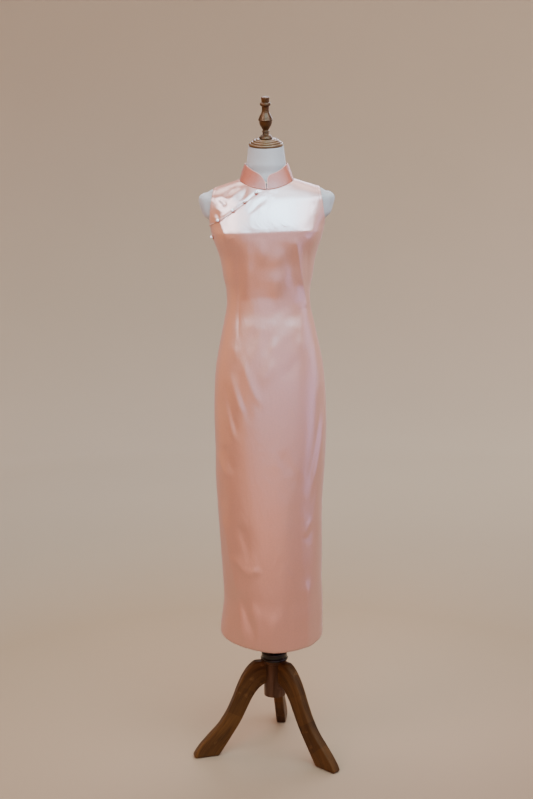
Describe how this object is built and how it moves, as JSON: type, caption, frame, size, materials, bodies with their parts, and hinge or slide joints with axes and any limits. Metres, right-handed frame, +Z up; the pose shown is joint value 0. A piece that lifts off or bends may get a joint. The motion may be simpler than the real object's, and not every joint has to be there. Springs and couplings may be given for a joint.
{
  "type": "cheongsam dress on a limbless dress form with a tripod stand",
  "caption": "Long sleeveless satin dress with stand collar and pearl-buttoned diagonal opening, on a limbless dress form with turned wooden cap and a sliding, turning tripod stand.",
  "frame": {"origin": "on the floor, at the middle of the whole object's footprint box", "axes": "+Z up; the wearer faces -Y, so the diagonal opening, on the wearer's right, is at -X; the column stands 25.4 mm to +X and 28.7 mm to -Y of the origin"},
  "size_m": [0.4058, 0.4078, 1.7766],
  "materials": {
    "satin": "polyester satin, soft salmon pink with a cool, almost white sheen",
    "piping": "narrow satin bias piping, lighter pink",
    "loop_cord": "coral satin cord",
    "pearl": "imitation pearl",
    "form_cover": "matt off-white knit stretched over the form",
    "dark_wood": "dark walnut stain, satin varnish",
    "cap_wood": "turned wood, bronze-brown glossy varnish",
    "pole_steel": "dark brown satin paint"
  },
  "bodies": {
    "stand": {"hub": "dark_wood", "clamp_ring": "dark_wood", "leg_1": "dark_wood", "leg_2": "dark_wood", "leg_3": "dark_wood"},
    "pole": {"pole": "pole_steel"},
    "form": {"base_plate": "pole_steel", "form_torso": "form_cover", "neck_cap": "cap_wood", "finial": "dark_wood", "front_panel": "satin", "back_panel": "satin", "under_panel": "satin", "collar": "satin", "collar_piping": "piping", "pearl_button_1": "pearl", "pearl_button_2": "pearl", "pearl_button_3": "pearl", "pearl_button_4": "pearl", "pearl_button_5": "pearl", "button_loop_1": "loop_cord", "button_loop_2": "loop_cord", "button_loop_3": "loop_cord", "button_loop_4": "loop_cord", "button_loop_5": "loop_cord"}
  },
  "joints": [
    {"name": "height", "type": "slide", "parent": "stand", "child": "pole", "axis": [0, 0, 1], "range_m": [-0.1, 0.06]},
    {"name": "swivel", "type": "hinge", "parent": "pole", "child": "form", "pos_m": [0.0254, -0.0287, 0.71], "axis": [0, 0, 1], "continuous": true}
  ]
}
